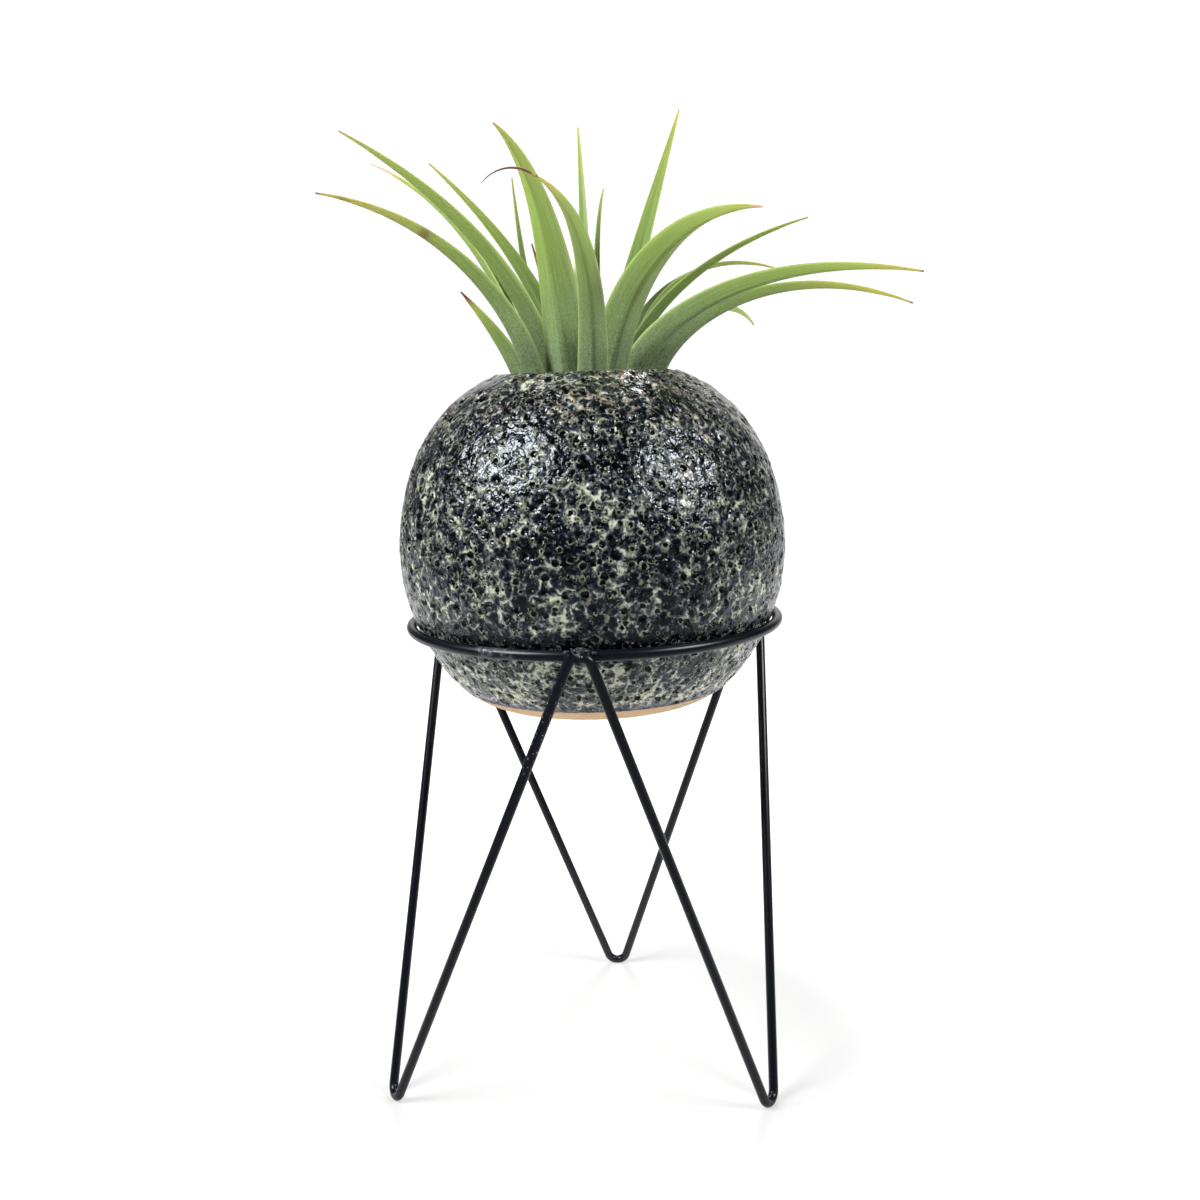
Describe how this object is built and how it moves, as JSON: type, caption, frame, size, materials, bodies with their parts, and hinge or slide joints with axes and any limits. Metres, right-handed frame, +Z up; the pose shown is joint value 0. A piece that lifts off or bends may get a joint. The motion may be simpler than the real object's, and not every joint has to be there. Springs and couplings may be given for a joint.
{
  "type": "air plant holder",
  "caption": "Round stoneware vase with a crater glaze, resting in the ring of a black bent-wire stand on hairpin legs, with an air plant standing in its mouth.",
  "frame": {"origin": "on the floor, under the centre of the stand's ring", "axes": "+Z up; -Y towards the front, where one pair of leg ends is welded to the ring; +X to the right seen from the front"},
  "size_m": [0.1284, 0.1154, 0.2335],
  "materials": {
    "black_enamel": "semi-gloss black paint, scuffed",
    "ground_weld": "ground weld, thinly painted",
    "weld_bead": "rough weld bead under black paint",
    "bare_stoneware": "bare fired clay, matt",
    "crater_glaze": "glossy mottled crater glaze",
    "dry_leaf_base": "dry plant base, matt",
    "leaf": "frosted green leaf, satin"
  },
  "bodies": {
    "stand": {"ring": "black_enamel", "ring_butt_weld": "ground_weld", "leg_front_left": "black_enamel", "leg_front_right": "black_enamel", "leg_back": "black_enamel", "weld_front": "weld_bead", "weld_right": "weld_bead", "weld_left": "weld_bead"},
    "vase": {"clay_body": "bare_stoneware", "crater_glaze": "crater_glaze"},
    "plant": {"basal_plate": "dry_leaf_base", "leaf_left_short": "leaf", "leaf_left_low": "leaf", "leaf_left_high": "leaf", "leaf_left_behind": "leaf", "leaf_left_inner": "leaf", "leaf_left_upright": "leaf", "leaf_left_bud": "leaf", "leaf_front_left": "leaf", "leaf_front": "leaf", "leaf_front_right": "leaf", "leaf_middle_tall": "leaf", "leaf_middle_short": "leaf", "leaf_right_tall": "leaf", "leaf_right_thin": "leaf", "leaf_right_behind": "leaf", "leaf_right_long": "leaf", "leaf_right_low": "leaf", "leaf_right_droop": "leaf", "leaf_back": "leaf", "leaf_back_right": "leaf", "leaf_back_left": "leaf"}
  },
  "joints": [
    {"name": "vase_lift", "type": "slide", "parent": "stand", "child": "vase", "axis": [0, 0, 1], "range_m": [0, 0.06]},
    {"name": "plant_lift", "type": "slide", "parent": "vase", "child": "plant", "axis": [0, 0, 1], "range_m": [0, 0.06]}
  ]
}
